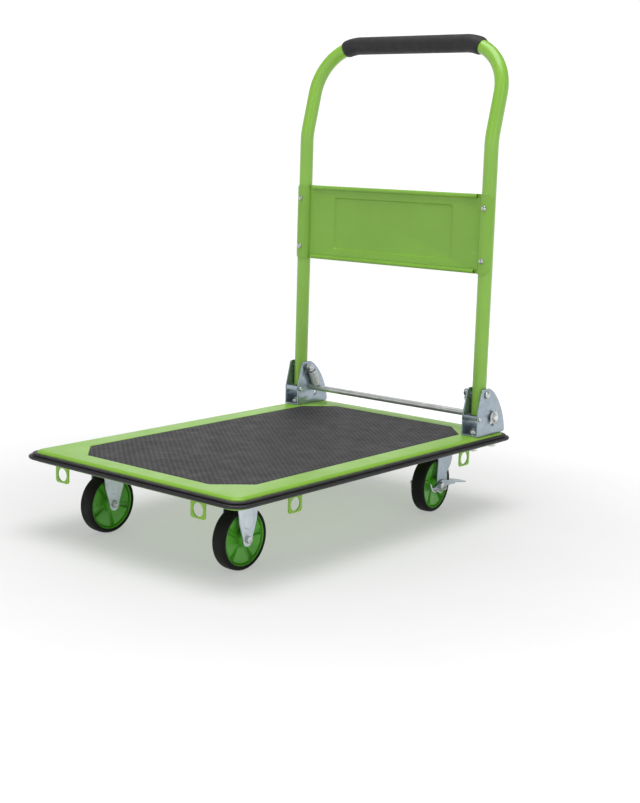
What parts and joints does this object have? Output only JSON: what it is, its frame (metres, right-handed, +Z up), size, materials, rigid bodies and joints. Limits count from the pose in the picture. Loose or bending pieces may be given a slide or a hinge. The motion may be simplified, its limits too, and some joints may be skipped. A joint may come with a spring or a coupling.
{
  "type": "folding platform cart",
  "caption": "Flat-bed push cart with a pressed steel deck, rubber bumper, fixed front casters, braked swivel rear casters and a tubular handle that folds flat.",
  "frame": {"origin": "on the floor, below the middle of the deck", "axes": "+X forward, away from the handle; +Y to the cart's left; +Z up"},
  "size_m": [0.74, 0.48, 0.8387],
  "materials": {
    "green_paint": "glossy light green powder coat",
    "mat_rubber": "matt dark grey ribbed rubber",
    "bumper_rubber": "satin charcoal moulded rubber",
    "tyre_rubber": "matt black rubber",
    "hub_plastic": "glossy mid-green moulded plastic",
    "zinc": "blue-white zinc plate",
    "bright_steel": "bright zinc plate",
    "foam": "matt black foam"
  },
  "bodies": {
    "deck": {"deck_pan": "green_paint", "cross_member_front": "green_paint", "cross_member_rear": "green_paint", "deck_mat": "mat_rubber", "edge_bumper": "bumper_rubber", "mount_channel_left": "green_paint", "tie_loop_end_left": "green_paint", "tie_loop_left_front": "green_paint", "tie_loop_left_rear": "green_paint", "hinge_bracket_left": "zinc", "front_fork_left": "zinc", "rear_top_plate_left": "zinc", "rear_race_left": "zinc", "bracket_bolt_left_front": "bright_steel", "bracket_bolt_left_rear": "bright_steel", "pivot_bolt_left": "bright_steel", "stop_pin_left": "bright_steel", "lock_spring_left": "bright_steel", "front_axle_left": "bright_steel", "mount_channel_right": "green_paint", "tie_loop_end_right": "green_paint", "tie_loop_right_front": "green_paint", "tie_loop_right_rear": "green_paint", "hinge_bracket_right": "zinc", "front_fork_right": "zinc", "rear_top_plate_right": "zinc", "rear_race_right": "zinc", "bracket_bolt_right_front": "bright_steel", "bracket_bolt_right_rear": "bright_steel", "pivot_bolt_right": "bright_steel", "stop_pin_right": "bright_steel", "lock_spring_right": "bright_steel", "front_axle_right": "bright_steel"},
    "lock_rod": {"lock_rod": "bright_steel", "rod_washer_left": "bright_steel", "cotter_pin_left": "bright_steel", "rod_washer_right": "bright_steel", "cotter_pin_right": "bright_steel"},
    "handle": {"handle_tube": "green_paint", "foam_grip": "foam", "back_panel": "green_paint", "panel_screw_left_upper": "bright_steel", "panel_screw_left_lower": "bright_steel", "panel_screw_right_upper": "bright_steel", "panel_screw_right_lower": "bright_steel"},
    "front_wheel_left": {"front_left_hub": "hub_plastic", "front_left_tyre": "tyre_rubber"},
    "swivel_left": {"rear_fork_left": "zinc", "rear_axle_left": "bright_steel"},
    "rear_wheel_left": {"rear_left_hub": "hub_plastic", "rear_left_tyre": "tyre_rubber"},
    "pedal_left": {"brake_pedal_left": "bright_steel"},
    "front_wheel_right": {"front_right_hub": "hub_plastic", "front_right_tyre": "tyre_rubber"},
    "swivel_right": {"rear_fork_right": "zinc", "rear_axle_right": "bright_steel"},
    "rear_wheel_right": {"rear_right_hub": "hub_plastic", "rear_right_tyre": "tyre_rubber"},
    "pedal_right": {"brake_pedal_right": "bright_steel"}
  },
  "joints": [
    {"name": "handle_fold", "type": "hinge", "parent": "deck", "child": "handle", "pos_m": [-0.292, 0, 0.2134], "axis": [0, 1, 0], "range_deg": [0, 98]},
    {"name": "lock_rod_slide", "type": "slide", "parent": "deck", "child": "lock_rod", "axis": [0, 0, 1], "range_m": [-0.01, 0], "stiffness_N_per_m": 1500, "springref_m": 0.01, "deforming": ["lock_spring_left", "lock_spring_right"]},
    {"name": "front_wheel_spin_left", "type": "hinge", "parent": "deck", "child": "front_wheel_left", "pos_m": [0.265, 0.148, 0.05], "axis": [0, 1, 0], "continuous": true},
    {"name": "caster_swivel_left", "type": "hinge", "parent": "deck", "child": "swivel_left", "pos_m": [-0.261, 0.148, 0.12], "axis": [0, 0, 1], "continuous": true},
    {"name": "rear_wheel_spin_left", "type": "hinge", "parent": "swivel_left", "child": "rear_wheel_left", "pos_m": [-0.23512, 0.15049, 0.05], "axis": [-0.0958, 0.9954, 0], "continuous": true},
    {"name": "brake_pedal_left", "type": "hinge", "parent": "swivel_left", "child": "pedal_left", "pos_m": [-0.23512, 0.15049, 0.05], "axis": [-0.0958, 0.9954, 0], "range_deg": [-12, 0]},
    {"name": "front_wheel_spin_right", "type": "hinge", "parent": "deck", "child": "front_wheel_right", "pos_m": [0.265, -0.148, 0.05], "axis": [0, 1, 0], "continuous": true},
    {"name": "caster_swivel_right", "type": "hinge", "parent": "deck", "child": "swivel_right", "pos_m": [-0.261, -0.148, 0.12], "axis": [0, 0, 1], "continuous": true},
    {"name": "rear_wheel_spin_right", "type": "hinge", "parent": "swivel_right", "child": "rear_wheel_right", "pos_m": [-0.23512, -0.15049, 0.05], "axis": [0.0958, 0.9954, 0], "continuous": true},
    {"name": "brake_pedal_right", "type": "hinge", "parent": "swivel_right", "child": "pedal_right", "pos_m": [-0.23512, -0.15049, 0.05], "axis": [0.0958, 0.9954, 0], "range_deg": [-12, 0]}
  ]
}
